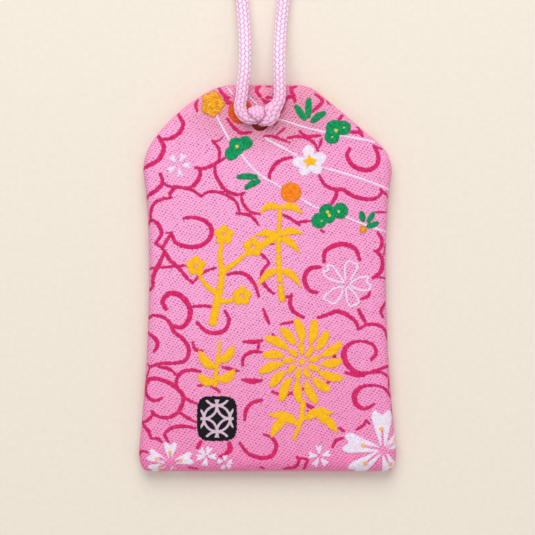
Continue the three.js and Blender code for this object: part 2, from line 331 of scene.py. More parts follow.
def braided_tube(path, normal, start=0, direction=1, first_tangent=None, last_tangent=None,
                 tall=(1, 1), wide=(1, 1), columns=STITCH_COLUMNS, stitch_length=STITCH_LENGTH):
    """Points of a braided tube, its stitch heights, the frame's last normal and its length.

    start is how far along the braid the tube begins. direction is 1 where it runs the braid's own way,
    up the left leg, and -1 where it runs against it. tall and wide are shares of the cord's thickness,
    spread evenly along it, where it is squeezed.
    """
    tangents = np.gradient(path, axis=0)
    if first_tangent is not None:
        tangents[0] = first_tangent
    if last_tangent is not None:
        tangents[-1] = last_tangent
    tangents /= np.linalg.norm(tangents, axis=1)[:, None]
    steps = running_length(path)
    shares = steps / steps[-1]
    tall = np.interp(shares, np.linspace(0, 1, len(tall)), tall)
    wide = np.interp(shares, np.linspace(0, 1, len(wide)), wide)
    around_count = columns * SAMPLES_PER_COLUMN
    around = np.arange(around_count) / around_count
    angles = 2 * np.pi * around
    normal = np.asarray(normal, float)
    rings = []
    heights = []
    for row, (centre, tangent) in enumerate(zip(path, tangents)):
        normal = normal - tangent * normal.dot(tangent)
        normal /= np.linalg.norm(normal)
        side = np.cross(tangent, normal)
        along = start + direction * steps[row]
        height = braid_height(along, (direction * around) % 1, columns, stitch_length)
        radius = CORD / 2 + STITCH_RISE - STITCH_DEPTH * (1 - height)
        up = np.outer(tall[row] * radius * np.cos(angles), normal)
        across = np.outer(wide[row] * radius * np.sin(angles), side)
        rings.append(centre + up + across)
        heights.append(height)
    return np.array(rings), np.array(heights), normal, steps[-1]


def strap_route():
    """The free loop: off the face, down to the table, round its far end and back."""
    face, table, left, right = CORD_ON_FACE, CORD_ON_TABLE, LEFT_LEG, RIGHT_LEG
    points = [
        (left, -LEG_DROP, face),
        (left + 0.2, -0.5, face),
        (left + 0.6, 2.5, face - 0.1),
        (left + 0.7, 7, face - 1.1),
        (left + 0.5, 12, table + 1.4),
        (left, 17.5, table + 0.3),
        (left - 0.8, 23.5, table),
        (left - 1.9, 30.5, table),
        (left - 2.9, 38.5, table),
        (left - 2.9, 46.5, table),
        (left - 1.2, 53.5, table),
        (-1.5, 58.3, table),
        (2.2, 58.9, table),
        (right + 1.9, 56.1, table),
        (right + 4.1, 50, table),
        (right + 4.4, 42.5, table),
        (right + 3.5, 34.5, table),
        (right + 2.4, 26.5, table),
        (right + 1.3, 21, table),
        (right + 0.7, 16.5, table + 0.4),
        (right + 0.2, 11.5, table + 1.5),
        (right - 0.1, 6.5, face - 1),
        (right - 0.1, 2.5, face - 0.1),
        (right, -0.5, face),
        (right, -LEG_DROP, face),
    ]
    return [(HOLE_X + x, HALF_LENGTH + y, z) for x, y, z in points]


def knot_routes():
    """The cord's way from the two legs into the hole, and the bulging turn between them."""
    top = HALF_LENGTH - LEG_DROP - HOLE_Y
    left = [
        (LEFT_LEG, top, 0), (LEFT_LEG - 0.3, 3.5, 0), (LEFT_LEG - 0.15, 2.3, 0), (-3.2, 1.25, 0),
        (-2.2, 0.8, 0), (-1.3, 0.7, -0.1), (-0.7, 0.7, -0.8), (-0.5, 0.7, -1.7),
    ]
    right = [
        (RIGHT_LEG, top, 0), (RIGHT_LEG - 0.2, 4.3, 0.05), (3.35, 3.4, 0.1), (2.85, 2.75, 0.2),
        (2.5, 2.25, 0.2), (2.35, 1.6, 0.2), (2.2, 1.05, 0.15), (1.9, 0.6, 0.05), (1.2, 0.4, -0.1),
        (0.55, 0.25, -0.75), (0.25, 0.1, -1.6),
    ]
    turn = [
        (-0.8, 0.6, -1.5), (-0.8, 0.65, -0.5), (-0.8, 1.0, 0.35), (-0.85, 1.7, 0.6),
        (-0.95, 2.35, 0.25), (-1, 2.55, -0.6), (-1, 2.55, -1.2),
    ]
    return [
        [(HOLE_X + x, HOLE_Y + y, CORD_ON_FACE + lift) for x, y, lift in route]
        for route in (left, right, turn)
    ]


def add_knot(tubes):
    """One piece from the knot's tubes, which stores how strongly shade is painted where they press on each
    other.
    """
    groups = [rings.reshape(-1, 3) for rings, _, _, _ in tubes]
    faces, contact_shades = [], []
    for number, (rings, _, _, _) in enumerate(tubes):
        faces += tube_parts(rings, sum(len(group) for group in groups[:number]))[1]
        others = np.concatenate(groups[:number] + groups[number + 1 :])
        # Each point's share of painted shade, from its gap to the other tubes
        contact_shades.append(1 - smoothstep(nearest(groups[number], others)[1], *CONTACT_SHADE_REACH))
    knot = new_object("braided_knot", np.concatenate(groups), faces)
    store(knot, "stitch", np.concatenate([heights.ravel() for _, heights, _, _ in tubes]))
    store(knot, "contact_shade", np.concatenate(contact_shades))
    return knot


def add_cord(cord_material):
    up, rise, fall = (0, 0, 1), (0, 1, 0), (0, -1, 0)
    path = spline(strap_route(), RING_STEP)
    rings, heights, normal, length = braided_tube(path, up, first_tangent=rise, last_tangent=fall)
    strap = new_object("braided_strap", *tube_parts(rings))
    store(strap, "stitch", heights.ravel())

    left, right, turn = knot_routes()
    left, right = spline(left, RING_STEP), spline(right, RING_STEP)
    turn = spline(turn, TURN_RING_STEP)
    knot = add_knot([
        braided_tube(left, up, 0, -1, fall, tall=STRAND_TALL, wide=LEFT_WIDE),
        braided_tube(right, normal, length, 1, fall, tall=STRAND_TALL, wide=RIGHT_WIDE),
        braided_tube(turn, fall, tall=TURN_TALL, wide=TURN_WIDE,
                     columns=TURN_COLUMNS, stitch_length=TURN_STITCH),
    ])

    for piece, node in ((strap, "cord_strap"), (knot, "front_knot")):
        piece.data.materials.append(cord_material)
        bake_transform(piece)
        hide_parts(node)
    length * METRES


# Pouch outline

def quadratic(start, control, end, count):
    t = np.linspace(0, 1, count, endpoint=False)[:, None]
    return (1 - t) ** 2 * np.array(start) + 2 * t * (1 - t) * np.array(control) + t**2 * np.array(end)


def towards(corner, other, distance):
    """The place that lies `distance` from the corner on the way to the other point."""
    corner, other = np.array(corner, float), np.array(other, float)
    return corner + (other - corner) * distance / np.linalg.norm(other - corner)


def pouch_side(sign, bulge):
    """Points up one side of the pouch, from the bottom edge to the top edge."""
    shoulder_y = HALF_LENGTH - SHOULDER_DROP
    waist_y = WAIST_HEIGHT - HALF_LENGTH
    flare_y = BOTTOM_CORNER_RISE - HALF_LENGTH
    waist = (sign * WAIST_WIDTH / 2, waist_y)
    low_control = (sign * WAIST_WIDTH / 2, (waist_y + flare_y) / 2)
    high_control = (sign * WAIST_WIDTH / 2, (waist_y + shoulder_y) / 2)
    bottom = (sign * (HALF_WIDTH - BOTTOM_CORNER), -HALF_LENGTH)
    corner = (sign * HALF_WIDTH, -HALF_LENGTH)
    flare = (sign * HALF_WIDTH, flare_y)
    shoulder = np.array([sign * SHOULDER_WIDTH / 2, shoulder_y])
    below = shoulder - (0, SHOULDER_CORNER)
    peak = np.array([TOP_SHIFT + sign * TOP_WIDTH / 2, HALF_LENGTH])
    slope = (peak - shoulder) / np.linalg.norm(peak - shoulder)
    outward = sign * np.array([slope[1], -slope[0]])
    middle = (peak + shoulder) / 2 + 2 * bulge * outward
    after_shoulder = towards(shoulder, middle, SHOULDER_CORNER)
    before_peak = towards(peak, middle, TOP_CORNER)
    after_peak = towards(peak, (TOP_SHIFT, HALF_LENGTH), TOP_CORNER)
    return np.concatenate([
        quadratic(bottom, corner, flare, CORNER_STEPS),
        quadratic(flare, low_control, waist, SIDE_STEPS),
        quadratic(waist, high_control, below, SIDE_STEPS),
        quadratic(below, shoulder, after_shoulder, CORNER_STEPS),
        quadratic(after_shoulder, middle, before_peak, SLOPE_STEPS),
        quadratic(before_peak, peak, after_peak, CORNER_STEPS),
        [after_peak],
    ])


def inset_scale(distance):
    """How the outline is scaled to lie `distance` further in at its bottom corners."""
    return np.array([1 - distance / HALF_WIDTH, 1 - distance / HALF_LENGTH])


def face_grid(columns, rows):
    """Rows of points, bottom to top, that fill the face inside the rounded edge.

    The rows start at even steps along the left side, so they are closest together at the corners.
    """
    right = pouch_side(1, 0)
    left = pouch_side(-1, LEFT_SHOULDER_BULGE)
    run = running_length(left)
    heights = np.interp(np.linspace(0, run[-1], rows), run, left[:, 1])
    starts = np.interp(heights, left[:, 1], left[:, 0])
    ends = np.interp(heights, right[:, 1], right[:, 0])
    shares = np.linspace(0, 1, columns)
    x = starts[:, None] + (ends - starts)[:, None] * shares
    y = np.repeat(heights[:, None], columns, axis=1)
    return np.stack([x, y], axis=2) * inset_scale(EDGE_ROUND)


def grid_border(numbers):
    """The numbers of a grid's border points, anticlockwise from its first point."""
    return np.concatenate([numbers[0, :-1], numbers[:-1, -1], numbers[-1, :0:-1], numbers[:0:-1, 0]])


def edge_folds(count):
    """Turns from the seam up to the face, and how far each has carried the cloth beyond the face.

    Above half way this is how far out the edge lies; below it the cloth keeps its length round the fold.
    """
    turns = np.linspace(0, math.pi / 2, count, endpoint=False)
    half = math.pi / 4
    carried = np.where(turns > half, np.cos(turns), math.cos(half) + (half - turns) * math.sin(half))
    return turns, EDGE_ROUND * carried


def out_and_round(points, rim):
    """For points of the face, how far out they lie, 0 to 1, and how far round."""
    angles = np.arctan2(rim[:, 1], rim[:, 0])
    runs = np.linspace(0, 1, len(rim), endpoint=False)
    order = np.argsort(angles)
    turned = np.arctan2(points[:, 1], points[:, 0])
    reach = np.interp(turned, angles[order], np.hypot(rim[:, 0], rim[:, 1])[order], period=2 * math.pi)
    following = np.searchsorted(angles[order], turned) % len(rim)
    return np.hypot(points[:, 0], points[:, 1]) / reach, runs[order][following]


def panel_rings(rim, ripple, edge_z, crown):
    """Rings that follow a panel's rim: round the edge to the seam, back up inside it, and inwards.

    Each has its flat outline, height, place on the flat cloth, turn away from the face and puckers.
    """
    facing = 1 if edge_z > SEAM_Z else -1
    seam_z = SEAM_Z + facing * SEAM_GAP
    inside_z = edge_z - facing * PANEL
    outline = rim / inset_scale(EDGE_ROUND)
    rings = []
    turns, carried = edge_folds(FOLD_STEPS)
    for turn, beyond in zip(turns[::-1], carried[::-1]):
        flat = outline * inset_scale(EDGE_ROUND * (1 - math.cos(turn)))
        z = seam_z + (edge_z - seam_z) * math.sin(turn)
        cloth = outline * inset_scale(EDGE_ROUND - beyond)
        rings.append((flat, z, cloth, 1 - math.sin(turn), ripple * math.sin(turn)))
    for turn in np.linspace(0, math.pi / 2, INNER_FOLD_STEPS):
        flat = outline * inset_scale(EDGE_ROUND - (EDGE_ROUND - PANEL) * math.cos(turn))
        rings.append((flat, seam_z + (inside_z - seam_z) * math.sin(turn), flat, 1, 0))
    for share in INNER_RINGS:
        rings.append((rim * share, inside_z + crown * (1 - share**2), rim * share, 1, 0))
    rings.append((np.zeros((1, 2)), inside_z + crown, np.zeros((1, 2)), 1, 0))
    return rings


def add_panel(name, columns, rows, edge_z, crown):
    """A closed brocade panel: its outer skin, and a coarse inner skin a cloth's thickness below.

    Also returns each point's place on the flat cloth, how far it turns away from the face, 0 to 1,
    and how much it may pucker.
    """
    grid = face_grid(columns, rows).reshape(-1, 2)
    numbers = np.arange(len(grid)).reshape(rows, columns)
    border = grid_border(numbers)
    share, run = out_and_round(grid, grid[border])
    pucker = sum(np.sin(2 * math.pi * waves * run + lag) for lag, waves in enumerate(PUCKERS_ROUND))
    points = [np.column_stack([grid, edge_z + crown * (1 - np.minimum(share, 1) ** 2)])]
    cloth, edge, puckers = [grid], [np.zeros(len(grid))], [pucker * smoothstep(share, 0.8, 1)]
    faces = []
    for row, above in zip(numbers, numbers[1:]):
        faces += np.stack([row[:-1], row[1:], above[1:], above[:-1]], axis=1).tolist()

    last, count = border, len(grid)
    for flat, z, beyond, folded, ripple in panel_rings(grid[border], pucker[border], edge_z, crown):
        points.append(np.column_stack([flat, np.full(len(flat), z)]))
        cloth.append(beyond)
        edge.append(np.full(len(flat), folded))
        puckers.append(np.full(len(flat), ripple))
        if len(flat) > 1:
            ring = count + np.arange(len(flat))
            faces += band_faces(ring, last)
            last, count = ring, count + len(flat)
    faces += [(start, count, end) for start, end in zip(last.tolist(), np.roll(last, -1).tolist())]
    if edge_z < SEAM_Z:
        faces = [tuple(reversed(face)) for face in faces]
    piece = new_object(name, np.concatenate(points), faces)
    return piece, np.concatenate(cloth), np.concatenate(edge), np.concatenate(puckers)


def cut_hole(piece):
    """Cut the round cord hole through a panel."""
    angles = 2 * math.pi * np.arange(HOLE_SIDES) / HOLE_SIDES
    x = HOLE_X + HOLE / 2 * np.cos(angles)
    y = HOLE_Y + HOLE / 2 * np.sin(angles)
    below, above = 0.5, 8
    rings = [np.column_stack([x, y, np.full(HOLE_SIDES, z)]) for z in (below, above)]
    punch = new_object("punch", *tube_parts(np.array(rings)))
    modifier = piece.modifiers.new("hole", "BOOLEAN")
    modifier.operation = "DIFFERENCE"
    modifier.solver = "EXACT"
    modifier.object = punch
    with bpy.context.temp_override(object=piece, active_object=piece):
        bpy.ops.object.modifier_apply(modifier=modifier.name)
    bpy.data.objects.remove(punch, do_unlink=True)


# Woven figures, as distances from their edges in millimetres, below zero inside

def pixels(text):
    """Points written as photograph pixels, in millimetres on the pouch."""
    pairs = np.array([pair.split(",") for pair in text.split()], float)
    return (pairs - POUCH_PIXEL) * (1, -1) / PIXELS_PER_MM


def strokes(text):
    """The widths in pixels, and the points, of strokes that end with semicolons."""
    for stroke in text.strip(" ;\n").split(";"):
        widths, line = stroke.split(maxsplit=1)
        yield np.array(widths.split("/"), float), pixels(line)


def keep_nearest(field, points, shape, margin, distance):
    """Bring a field down to the distance from one more shape, at the points near it."""
    near = np.all((points > shape.min(axis=0) - margin) & (points < shape.max(axis=0) + margin), axis=1)
    if near.any():
        field[near] = np.minimum(field[near], distance(points[near]))


def nearest_on_edges(points, start, end):
    """How far each point is from each straight edge, and the share of the edge where it is nearest."""
    edge = end - start
    away = points[:, None, :] - start
    share = np.clip((away * edge).sum(axis=2) / np.maximum((edge**2).sum(axis=1), 1e-9), 0, 1)
    gap = away - share[..., None] * edge
    return np.sqrt((gap**2).sum(axis=2)), share


def add_stroke(field, points, line, widths):
    """A smooth line whose width changes along it. Widths are in pixels."""
    route = spline(line, STROKE_STEP) if len(line) > 1 else np.concatenate([line, line + 0.001])
    places = np.linspace(0, 1, len(route))
    half = np.interp(places, np.linspace(0, 1, len(widths)), np.array(widths) / 2 / PIXELS_PER_MM)

    def distance(near):
        gaps, share = nearest_on_edges(near, route[:-1], route[1:])
        return (gaps - half[:-1] - share * (half[1:] - half[:-1])).min(axis=1)

    keep_nearest(field, points, route, half.max() + FIELD_MARGIN, distance)


def add_dot(field, points, middle, width):
    add_stroke(field, points, middle[None, :], [width])


def add_area(field, points, corners):
    """A filled polygon."""

    def distance(near):
        ends = np.roll(corners, -1, axis=0)
        gaps, _ = nearest_on_edges(near, corners, ends)
        x, y = near[:, :1], near[:, 1:]
        rise = np.where(ends[:, 1] == corners[:, 1], 1e-9, ends[:, 1] - corners[:, 1])
        crossing = corners[:, 0] + (y - corners[:, 1]) / rise * (ends[:, 0] - corners[:, 0])
        passed = ((corners[:, 1] > y) != (ends[:, 1] > y)) & (x < crossing)
        inside = passed.sum(axis=1) % 2 == 1
        return np.where(inside, -1, 1) * gaps.min(axis=1)

    keep_nearest(field, points, corners, FIELD_MARGIN, distance)


def carve_stroke(field, points, line, widths):
    """Take a smooth line out of a figure."""
    cut = np.full(len(points), FAR)
    add_stroke(cut, points, line, widths)
    np.maximum(field, -cut, out=field)


def polar(middle, reach, angle):
    """The place that lies `reach` pixels from the middle, at an angle in degrees."""
    turn = np.radians(angle)
    return middle + reach / PIXELS_PER_MM * np.array([np.cos(turn), np.sin(turn)])


def circle_of(middle, reach, count):
    """Places in a ring, `reach` pixels from the middle, the first at its top."""
    return np.array([polar(middle, reach, 90 + 360 / count * step) for step in range(count)])


def petal(middle, angle, near, far, width, notch, shape):
    """The outline of one petal, from `near` to `far` pixels out, with a notch in its tip."""
    half = [(near + share * (far - near), side * width / 2) for share, side in shape]
    outline = [*half, (far - notch, 0), *((out, -side) for out, side in reversed(half))]
    turn = math.radians(angle)
    out, side = np.array(outline).T / PIXELS_PER_MM
    x = out * math.cos(turn) - side * math.sin(turn)
    y = out * math.sin(turn) + side * math.cos(turn)
    return middle + np.column_stack([x, y])


# Colours of the figures, the topmost last: dark thread, light thread, fray of the edge, height
FIGURES = {
    "crimson": (srgb(186, 14, 88), srgb(244, 48, 124), 1.0, 0.06),
    "white": (srgb(222, 206, 232), srgb(252, 244, 255), 0.3, 0.08),
    "green": (srgb(0, 112, 62), srgb(4, 176, 110), 0.8, 0.09),
    "orange": (srgb(230, 104, 6), srgb(255, 160, 36), 0.8, 0.1),
    # The orange spot beside the knot, painted darker and redder: painted shade from the cord
    "orange_in_painted_shade": (srgb(206, 62, 12), srgb(240, 112, 36), 0.8, 0.1),
    "yellow": (srgb(204, 100, 8), srgb(255, 206, 50), 1.5, 0.1),
    "pollen": (srgb(240, 164, 92), srgb(255, 206, 142), 0.3, 0.1),
    "lemon": (srgb(214, 190, 60), srgb(240, 228, 120), 0.3, 0.1),
    "gold": (srgb(242, 168, 6), srgb(255, 208, 34), 1.0, 0.15),
    "black": (srgb(8, 6, 10), srgb(26, 20, 28), 1.0, 0.1),
    "pale": (srgb(206, 176, 200), srgb(232, 208, 228), 0.2, 0.0),
}

# Half outlines of petals: shares of the length and of half the width
CHERRY = ((0, 0.25), (0.4, 0.65), (0.78, 1.0), (0.92, 0.92), (1.0, 0.62))
PLUM = ((0, 0.45), (0.35, 0.82), (0.62, 0.97), (0.86, 0.66), (1.0, 0.16))

# Crimson cloud lines: width in pixels, or widths along the line, then the line
CLOUDS = """
3.6 178.5,114.5 183.3,124.3 178.3,133.6 168.3,139 161,139;
4 157.6,136 162.9,143.6 163.5,151 157.6,160.4 148.3,165.7 142,168.5;
3 197.6,100 195.7,105 197.2,110.7;
3 218.5,87 221,91.5 224,95.5 229,97.5;
4.4 225,99.5 229,102.5 233,105.5;
2 222.6,136.8 219,140.7 212.6,141;
3 212.6,141 219.4,150 219,160;
3.2 224.7,158.2 213.3,164.6 204,168.6 195.4,167.5;
3.6 200.4,168.6 199.7,176.4 193.3,186 188,188;
3.2 214.7,165 215.4,174.3 219.4,182 225,189.6 233.6,193.9 241.4,194.2 244.3,192.6;
2.8 241,195 243.2,203.5 250,211.4 259.3,214.2;
2.8 201.5,196.4 206.9,192.3 218.3,192 228.6,196.4 236,202 239.6,212;
2.8 236.8,213.3 250,215.6 259,225;
3.6 160.4,174 162.6,182.4 157.6,189.2 145.5,197.4;
3 162.6,182 168.3,186 179.7,187.4 191,189.6 201.5,196.4;
2.8 174.7,188.5 169.7,194 171.5,197.4;
3 171,197.6 160.4,199.6 154,203.9 150.6,211.7 150.4,219;
3.4 147.6,223.9 151,219.7 159,225.3 161.5,233.9 155.8,243;
3.4 155.8,243 162.2,248 169.7,259.6 178.3,267.4 186,276.7 192.6,282.8;
2 166,233 172.6,232.4;
3 171,234 162.6,247.4;
4 171.5,233.5 176,242.8 187,246.6 198.3,246.4 208.3,240.3 211.9,231.7 208.6,223.9 200.4,218.9 190.4,217.3
  184,218.3;
2.4 191,265.6 182.6,265.6 168.3,267 153.3,267.8 148.6,269.6;
3.6 164,253 157.6,267.4 153.6,276 153.3,286.7;
2.4 153.3,286.7 147.9,291.4;
2.6 216,267.8 203.3,272.4 192.6,282.8;
4.6 166,309 162.4,302 168.3,294 177,294 184.7,299.6 190.2,310 188,321 182,327 173,326;
2.6 190.4,306.7 204,306 219,307.4;
3.4 147.6,318.5 153.3,315.3 163.3,317.4 170,323 173,330.6 184,340 189,350 185.4,360.3 175.4,363 160.4,363.5
  149.4,367;
1.8 147.2,363.5 149.4,367 145.4,379;
3.4 147.2,333 154.7,337.8 157.6,345.3 154,351.4;
3 193,342.4 195.4,349.6 202.6,351;
3.6 197,322.4 204.7,330 214.7,333 224.3,330.3 229.2,320 225,311;
2.8 158.3,366.4 169.7,369.2 175.4,374.2;
3.2 200.4,371.4 191,370 181,372.8 176.5,380.7 177.6,388;
3.6 162,398.2 154.7,400.7 146,395 145.4,385.7 150,379 160.4,379.6 174,385.7 183,395.7 182.2,404.3
  177.6,412.5 168.3,417.5 158,416.4 151.5,411;
2.8 153.3,413.6 147.6,420.4 141,423;
3 141,423 148,430.4 151.5,438.2;
2.6 151.5,438.2 159,439.3 162.2,442.5;
2.8 183.3,396.4 191,401.4 198,404;
2.8 179,412 188.3,418.2 195.8,421.8;
3.2 168.3,441.4 164.7,434.3 171,428.2 182.6,426 195.8,428.2;
3 198.3,385.7 208.3,384 219.7,391.8;
3.6 201,441.4 197.6,447.5;
2.4 139,455.7 141.5,451.4 147.6,452;
2 187.6,467.5 197.6,469.4;
2/3/5/4.4 219,457 226,453.6 230,449.5 229.6,444;
3.4 264.3,434.3 273,438.6 276.4,447 272,455.4 263,458 248.6,453.6 239.6,443;
3.4 262,400 252,403 246,410 244.6,420;
2.4/5/5/2.4 242.5,379.5 252,381.3 261.5,380;
2.8 272,391.4 282,394.6 293.6,392.5 304.6,388.2;
3.4 305,403.6 317.4,411.4 322.4,415.7;
2.2 307.4,410.7 311.7,415 319,414;
3 261,466.8 263.6,468.6;
2.8 284.3,469 296.4,466 299,459 296.4,456.8;
2.4 299.3,458.2 307,459;
2.6 308,460.7 303.6,469.3;
3 332.4,447 336.7,440 342.8,438.2;
3 339,427.5 344,431.4;
2.6 356.4,429.6 364,424.3 365.6,420.4 369.2,423.6;
2/3.5/4.6/5/3/2.4/2.4/2.6 374.6,404 364,408.6 356,403.6 354.6,395 360.3,387.5 371,385.4 383,387.5 392,398;
1.8 389.2,376.4 389,389.3;
1.4 392,405 394.2,416;
3.4 227.5,274.6 237,272.6 246.4,275 254.3,284 259,296.7;
3 266.8,235.3 265.7,243 255.7,250.6 263.6,256 268.9,262.4;
3 265.7,242 273.2,243.5;
3.4 268.6,263.5 262.5,271 262,279 265.7,286.4 273.6,293.5;
2.6 280.7,298 290,296.4;
3.6 291.4,294.6 290,304 294.3,312 303.6,317.3;
2.2 280.4,324 298.2,321;
3 263.2,309 269.3,324;
3.4 273,334.6 277,340.6;
2 265.7,338.5 276.4,339.6;
3.6 244,341.7 255.7,341.7 262,340.3;
2.6 258.6,342.8 258,349.6;
3.2 261.4,352 252,351.7 243.6,357 242.5,365.3;
3 223,367 238.6,371;
2.8 280.7,214 289.3,218 299.6,225;
2.4 297,222 311.8,221;
3.2 292,157.3 282,159.6 274.3,165.7 269.6,174.3 269.6,180;
3 227,118.6 233,126.4 241.4,133 250.7,132.3;
3.4 260,85.5 256.6,89 257.5,93 260.5,96.5;
2 266,86.5 272,86.2;
3 266.5,97.5 271,97.3;
2.4/3.4/4.6 262.5,99.5 266,102 269.5,103.2;
3.4 296,86 291,88.5 292,92 294,94.8;
3.2 285.5,100.5 287.5,97.8 290,96.2 294,97.6 295,101.5;
2.6 284.6,103.5 281.5,110 278.5,117.5;
2.6 274.5,124.5 277,122;
1.8 285,128 276.3,135.2;
2.3 264,136.5 270,135.7 278,138 289.5,142.5;
3 288.2,138 297,136.4 306.4,138 314.6,143.6 318,151.4;
3 299.6,131.4 306,136 320,135.6;
2.6 322,139 319,147;
3 315.3,94 322.4,100.7 312,112;
2.4 327.4,100.7 329.6,104;
2.8 342.4,115.4 337.8,121;
3.2 350.6,131.8 360.3,133 362.4,136.4;
2.8 357.8,126.8 362.4,133;
4 349.6,148.6 347,155 351,163.6 360.3,169.3 371,169.3 377.8,163 377.8,154.3 374,145.7;
2.2 374,145.7 382.4,149;
3.4 319.2,175.4 324.6,184.6 334,189.2 343,189.6 351,195 362.4,198.7 374,198.7 381.4,193 380.6,189.2;
2.2 383.5,191.4 387.8,197;
3.4 336.7,190 336,196 331.4,204.2;
2 375,212 386.7,212;
3 377.8,232.4 382,240.3 379.6,249 374.6,251.4;
3.6 377.4,251.7 382.4,259.6 381,271 373,278;
2 378,277.5 385.3,278;
1.6 386,244 383.5,255.3;
4.2 324,261.4 324.6,252.4 333,246 344.6,244.2 355.3,249 359.6,259.6;
4 320.3,267 310.3,268.5 304.7,276 305.4,284 310,290.6 317,292.4;
3 321,230.3 324,232.4;
2.8 361,299.2 368,296 370,292;
2.8 385.6,303 381,311 383.5,317.4;
3.6 318.5,317.4 329,314 337,311.3 349.6,316.4 356.4,323 358,329;
3 358.5,329 367.4,324.6 378,325 385.3,330.3 387.6,339.6;
3.4 358.5,309.6 365.3,322.4;
3/3.2/3/2.6/4/5.6/5/3.5/3/2.6/3 371.4,359.6 376.4,352.8 373,345 363,341.4 350.3,343.5 344,351 346,362.4
  354.6,371 366.7,373 377.4,369.6 388,366.4;
3.4 346,372.8 357.4,375.3 364,375.5;
2.4 372.4,373 379.6,372 387.8,376;
3.4 329,347.8 333.5,354 335.3,362.4;
3.2 326,373 332,376 327.4,383;
"""

# White twigs: width in pixels, then the line
TWIGS = """
2.3 217,117 222.6,128 229.5,140;
2.3 240.5,153.5 250,165.3 260,175 276.4,184.6 282,188.5;
2.3 300,198 313,206 319.6,208.5;
2.3 346.7,217.4 359,222.4 372.4,227.4 386.7,231.7;
2.3 265,138 282,147.5 297,155.4;
2.3 321.4,167 339.6,172 358,177.6 376,184.2 389,189.2;
2 279,119.5 290,122.5 300,126 326,132.5;
2.2 340.3,135.7 360.3,139 375.3,142;
1.4 226.5,86 233.5,95.5;
1.4 248,95.5 258.5,106;
"""

# Green leaves: width in pixels, then the line from end to end
LEAVES = """
6.8 296.5,106.8 300.5,112.8 304.5,118.8;
6.8 308.7,99.8 308.5,108 308.5,116;
7.2 324.2,113 318,116.7 312.3,121.3;
6.6 238.5,177 247,176.4 256,176.9;
6.5 258.5,181.3 252,184 246.5,187.5;
6.5 361.5,213 362.3,216.5 363.3,220;
5.5 373,214 370.8,217.5 368.5,220.7;
6 377,223.2 373,225 368.5,226.3;
"""

# Round spots of each colour: the middle and the radius in pixels
SPOTS = {
    "green": "245,143,6.8 248.5,142.5,4.6 235.5,144,6.5 231.5,153.5,6.8 238,149,6 334.5,128.5,8.8"
             " 343.5,128,7.4 332,136.5,7.5 327,211.5,7.8 340.3,210.8,8 319,220.8,7.8 329,217,6.5",
    "orange": "291,192.5,10.3",
    # The orange spot beside the knot, in the orange painted with the cord's shade
    "orange_in_painted_shade": "240.5,111.5,12.3",
    "yellow": "213.5,95.2,4.6 206.8,98,4.8 204.6,104.5,3 206.5,109,5 212,112,5 217.3,109.6,4.6"
              " 220.8,104,4.6 218.6,98.6,4 213,104,8 363,229.5,3.7",
    "pollen": "381.5,429,2.4 363,445.5,2.4 365.5,463.5,2.4 390.5,464.5,2.4 396,441,2.4"
              " 170,452.5,2 156.5,459.5,2 180.8,461.3,2 159.5,468.3,2",
    "lemon": "237,146.5,1.8 336,130.5,1.8 343.7,127.7,1.2 332.3,137,1 327.5,212,1.6 329.4,215.4,1.6"
             " 338.5,211.4,1.3 321.4,221,1",
}

# White cherry blossom: middle, hollow heart and notch, then angle, reach and width of each petal
CHERRY_BLOSSOMS = [
    ("383,450", 4, 6, "92,40.5,21 168,41,20 217,40,18 292,26,18 30,24,18"),
    ("170.3,462.8", 4, 4, "90,21,13.5 158,24.5,12 13,23.5,13 200,23.5,10 290,9,8"),
    ("206.5,456.5", 1.5, 2, "70,10.5,6.4 132,10.5,6.4 187,10.5,6.4 260,10.5,6.4 0,10.5,6.4"),
    ("319.5,456.5", 2.5, 2, "95,11.5,6.4 18,11.5,6.4 310,11.5,6.4 240,11.5,6.4 172,11.5,6.4"),
    ("178.5,165", 3.5, 2.5, "63,12.5,6 131,12.5,6 211,12.5,6 279,12.5,6 358,12.5,6"),
    ("225,463", 2, 1, "90,8,5 11,8,5 315,8,5 250,8,5 165,8,5"),
]
PLUM_MIDDLE = "309.5,161"
PLUM_HEART = 1
PLUM_RAY = (7, 1.6)
PLUM_PETALS = "96,16,13 15,17.5,13.5 313,16.5,12.5 241,16.5,12.5 185,17.5,12"
PLUM_STAR = "303.5,161 309,155.5 316.5,160.3 315.4,164.6 307.2,167"

# Cherry blossom drawn in white lines, petal by petal: width in pixels, then the line
OUTLINED_PETALS = """
1.9 345.5,279 344.5,270 346,263.5 349.5,260.5 353,263 358,264.5 357,268 353.5,275 351,279.5;
1.9 343.5,281 339,275 335,268.5 331,265.5 327,266 328.5,270.5 323,271.5 325,276 331,279.5 338,281.7
  344,282.7;
1.9 343,287 337,287.5 331,290.5 326,295 323.5,299.5 328,300.8 333,304 337,301 341,296 342.7,290;
1.9 346,288 346.5,296 347.5,302 351,307 354.5,304.8 358.5,303.5 358,299 355,294 351,289.5 348,287;
1.9 350,284.5 352,282 358,278.5 363,277 368.5,277 366.5,282 370.5,285.5 369,289.5 362,290.5 356,288.5
  351,286;
"""

